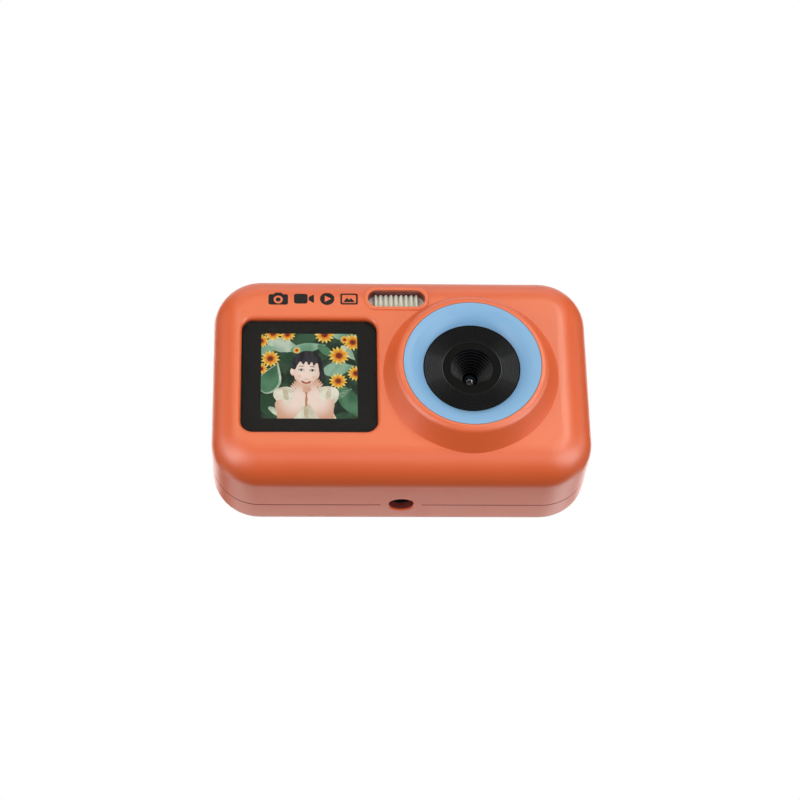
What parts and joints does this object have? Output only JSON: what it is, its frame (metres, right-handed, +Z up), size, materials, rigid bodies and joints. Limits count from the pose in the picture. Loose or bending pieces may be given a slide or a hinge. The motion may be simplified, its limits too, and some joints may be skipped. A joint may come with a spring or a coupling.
{
  "type": "action camera",
  "caption": "Compact point-and-shoot action camera: round lens barrel and small square screen at the front, larger screen and keys at the back, tripod socket below.",
  "frame": {"origin": "centre of the bounding box's bottom, on the flat base the camera stands on", "axes": "+X to the right as the lens side is faced, +Y from the front to the back (the lens looks along -Y), +Z up"},
  "size_m": [0.0938, 0.0346, 0.0576],
  "materials": {
    "orange_plastic": "satin",
    "blue_plastic": "satin",
    "black_plastic": "satin",
    "dark_plastic": "moulded",
    "frame_plastic": "moulded",
    "clear_window": "polished",
    "window_print": "printed",
    "screen": "lit panel",
    "lens_glass": "polished",
    "filter_glass": "polished",
    "diffuser": "fluted, frosted",
    "bright_metal": "polished",
    "steel": "plain",
    "tin_can": "tinned",
    "circuit_board": "solder mask",
    "chip_black": "moulded",
    "led_yellow": "moulded",
    "light_guide": "frosted",
    "cell_foil": "foil",
    "foam": "closed-cell foam",
    "seal_rubber": "moulded",
    "flex_film": "polyimide"
  },
  "bodies": {
    "camera": {"front_shell": "orange_plastic", "rear_shell": "orange_plastic", "shell_seal": "seal_rubber", "front_window": "clear_window", "front_window_mask": "window_print", "front_display": "screen", "lens_trim_ring": "blue_plastic", "lens_bezel": "black_plastic", "lens_baffle": "black_plastic", "front_lens_element": "lens_glass", "rear_lens_element": "lens_glass", "lens_barrel": "dark_plastic", "lens_holder": "dark_plastic", "infrared_filter": "filter_glass", "image_sensor": "chip_black", "flash_diffuser": "diffuser", "flash_reflector": "bright_metal", "flash_leds": "led_yellow", "flash_board": "circuit_board", "main_board": "circuit_board", "board_components": "chip_black", "processor_shield": "tin_can", "battery": "cell_foil", "battery_pad": "foam", "rear_window": "clear_window", "rear_window_mask": "window_print", "rear_display": "screen", "display_foam": "foam", "mid_frame": "frame_plastic", "key_board": "circuit_board", "key_switches": "tin_can", "top_board": "circuit_board", "top_switches": "tin_can", "usb_socket": "tin_can", "card_socket": "tin_can", "port_hinge_pin": "steel", "speaker": "dark_plastic", "microphone": "tin_can", "tripod_nut": "steel", "case_screws": "steel", "board_screws": "steel", "strap_bar": "steel", "status_light_pipe": "light_guide", "status_led": "led_yellow", "front_display_flex": "flex_film", "rear_display_flex": "flex_film", "key_flex": "flex_film"},
    "shutter_button": {"shutter_button": "blue_plastic"},
    "power_button": {"power_button": "orange_plastic"},
    "up_key": {"up_key": "orange_plastic"},
    "down_key": {"down_key": "orange_plastic"},
    "left_key": {"left_key": "orange_plastic"},
    "right_key": {"right_key": "orange_plastic"},
    "ok_key": {"ok_key": "orange_plastic"},
    "port_door": {"port_door": "orange_plastic", "port_door_gasket": "seal_rubber"},
    "memory_card": {"memory_card": "chip_black"}
  },
  "joints": [
    {"name": "shutter_press", "type": "slide", "parent": "camera", "child": "shutter_button", "axis": [0, 0, -1], "range_m": [0, 0.0005], "stiffness_N_per_m": 2500},
    {"name": "power_press", "type": "slide", "parent": "camera", "child": "power_button", "axis": [0, 0, -1], "range_m": [0, 0.0005], "stiffness_N_per_m": 2500},
    {"name": "up_key_press", "type": "slide", "parent": "camera", "child": "up_key", "axis": [0, -1, 0], "range_m": [0, 0.0004], "stiffness_N_per_m": 2500},
    {"name": "down_key_press", "type": "slide", "parent": "camera", "child": "down_key", "axis": [0, -1, 0], "range_m": [0, 0.0004], "stiffness_N_per_m": 2500},
    {"name": "left_key_press", "type": "slide", "parent": "camera", "child": "left_key", "axis": [0, -1, 0], "range_m": [0, 0.0004], "stiffness_N_per_m": 2500},
    {"name": "right_key_press", "type": "slide", "parent": "camera", "child": "right_key", "axis": [0, -1, 0], "range_m": [0, 0.0004], "stiffness_N_per_m": 2500},
    {"name": "ok_key_press", "type": "slide", "parent": "camera", "child": "ok_key", "axis": [0, -1, 0], "range_m": [0, 0.0004], "stiffness_N_per_m": 2500},
    {"name": "port_door_hinge", "type": "hinge", "parent": "camera", "child": "port_door", "pos_m": [0.046, -0.0025, 0.0282], "axis": [0, 0, -1], "range_deg": [0, 95]},
    {"name": "card_slide", "type": "slide", "parent": "camera", "child": "memory_card", "axis": [1, 0, 0], "range_m": [-0.0005, 0.002]}
  ]
}
